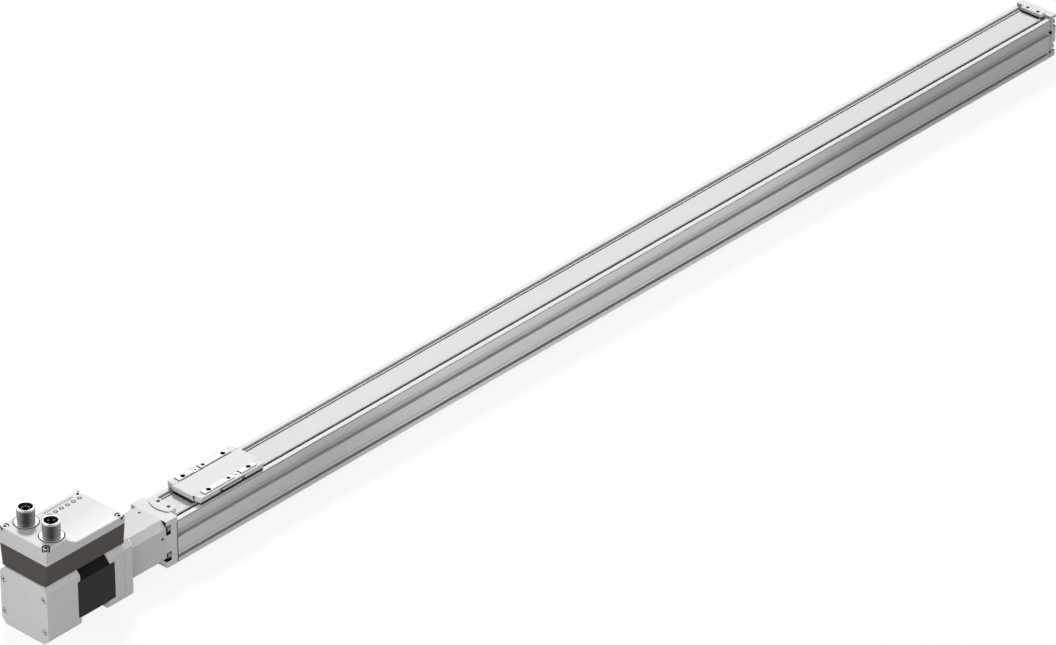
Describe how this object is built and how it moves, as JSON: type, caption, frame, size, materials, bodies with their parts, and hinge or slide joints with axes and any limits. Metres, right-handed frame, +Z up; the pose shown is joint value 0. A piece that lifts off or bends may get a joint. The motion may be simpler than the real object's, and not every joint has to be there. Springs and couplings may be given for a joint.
{
  "type": "ball screw linear axis",
  "caption": "Slim electric linear axis: a carriage on a slotted profile with a cover strip, moved by a ball screw from a stepper motor with a drive box on top.",
  "frame": {"origin": "middle of the profile's mounting face, at half of the profile's length", "axes": "+X along the axis from the motor to the idle end, +Z up out of the cover strip, +Y to the side with the keys"},
  "size_m": [1.0205, 0.0424, 0.0846],
  "materials": {
    "anodised_aluminium": "satin clear anodised",
    "machined_aluminium": "fine milled",
    "cast_aluminium": "blasted",
    "stainless_strip": "brushed along its length",
    "bearing_steel": "ground",
    "screw_steel": "plain",
    "connector_metal": "nickel plated",
    "contact_metal": "gold plated",
    "copper_wire": "enamelled",
    "stator_black": "black, satin",
    "base_brown": "fine grained",
    "lid_grey": "fine grained",
    "key_grey": "smooth",
    "window_grey": "smooth",
    "insert_black": "smooth",
    "board_green": "lacquered",
    "slide_plastic": "smooth",
    "black_rubber": "matt"
  },
  "bodies": {
    "axis_body": {"profile": "anodised_aluminium", "guide_rail": "bearing_steel", "cover_strip": "stainless_strip", "drive_end_cap": "machined_aluminium", "idle_end_cap": "machined_aluminium", "drive_strip_clamp": "machined_aluminium", "idle_strip_clamp": "machined_aluminium", "strip_clamp_screws": "screw_steel", "end_cap_screws": "screw_steel", "drive_bearing_outer_ring": "bearing_steel", "idle_bearing_outer_ring": "bearing_steel", "motor_bearing_outer_rings": "bearing_steel", "end_buffers": "black_rubber", "coupling_housing": "machined_aluminium", "housing_grub_screws": "screw_steel", "motor_bolts": "screw_steel", "motor_front_bell": "cast_aluminium", "motor_rear_bell": "cast_aluminium", "stator_core": "stator_black", "stator_windings": "copper_wire", "motor_rear_screws": "screw_steel", "encoder_board": "board_green", "electronics_base": "base_brown", "electronics_lid": "lid_grey", "lid_screws": "screw_steel", "control_board": "board_green", "level_window": "window_grey", "power_connector_shell": "connector_metal", "signal_connector_shell": "connector_metal", "connector_inserts": "insert_black", "connector_pins": "contact_metal", "connector_seals": "black_rubber"},
    "carriage": {"slide_bracket": "machined_aluminium", "left_cheek": "machined_aluminium", "right_cheek": "machined_aluminium", "centre_cover": "machined_aluminium", "side_plates": "machined_aluminium", "side_plate_screws": "screw_steel", "cheek_screws": "screw_steel", "guide_block": "bearing_steel", "ball_nut": "bearing_steel", "nut_screws": "screw_steel", "carriage_wipers": "slide_plastic"},
    "spindle": {"ball_screw": "bearing_steel", "spindle_lock_nut": "screw_steel", "drive_bearing_inner_ring": "bearing_steel", "idle_bearing_inner_ring": "bearing_steel", "motor_bearing_inner_rings": "bearing_steel", "spindle_coupling_hub": "machined_aluminium", "motor_coupling_hub": "machined_aluminium", "coupling_spider": "black_rubber", "motor_shaft": "bearing_steel", "rotor_core": "bearing_steel", "encoder_magnet": "bearing_steel"},
    "set_key_1": {"set_key_1": "key_grey"},
    "set_key_2": {"set_key_2": "key_grey"},
    "set_key_3": {"set_key_3": "key_grey"},
    "set_key_4": {"set_key_4": "key_grey"},
    "set_key_5": {"set_key_5": "key_grey"},
    "set_key_6": {"set_key_6": "key_grey"}
  },
  "joints": [
    {"name": "carriage_slide", "type": "slide", "parent": "axis_body", "child": "carriage", "axis": [1, 0, 0], "range_m": [0, 0.8]},
    {"name": "spindle_spin", "type": "hinge", "parent": "axis_body", "child": "spindle", "pos_m": [-0.45, 0, 0.0194], "axis": [1, 0, 0], "range_deg": [-36000, 0]},
    {"name": "set_key_1_press", "type": "slide", "parent": "axis_body", "child": "set_key_1", "axis": [0, 0, -1], "range_m": [0, 0.0004], "stiffness_N_per_m": 1500, "springref_m": -0.0005},
    {"name": "set_key_2_press", "type": "slide", "parent": "axis_body", "child": "set_key_2", "axis": [0, 0, -1], "range_m": [0, 0.0004], "stiffness_N_per_m": 1500, "springref_m": -0.0005},
    {"name": "set_key_3_press", "type": "slide", "parent": "axis_body", "child": "set_key_3", "axis": [0, 0, -1], "range_m": [0, 0.0004], "stiffness_N_per_m": 1500, "springref_m": -0.0005},
    {"name": "set_key_4_press", "type": "slide", "parent": "axis_body", "child": "set_key_4", "axis": [0, 0, -1], "range_m": [0, 0.0004], "stiffness_N_per_m": 1500, "springref_m": -0.0005},
    {"name": "set_key_5_press", "type": "slide", "parent": "axis_body", "child": "set_key_5", "axis": [0, 0, -1], "range_m": [0, 0.0004], "stiffness_N_per_m": 1500, "springref_m": -0.0005},
    {"name": "set_key_6_press", "type": "slide", "parent": "axis_body", "child": "set_key_6", "axis": [0, 0, -1], "range_m": [0, 0.0004], "stiffness_N_per_m": 1500, "springref_m": -0.0005}
  ],
  "couplings": [
    {"joint": "spindle_spin", "follows": "carriage_slide", "rad_per_m": -785.4}
  ]
}
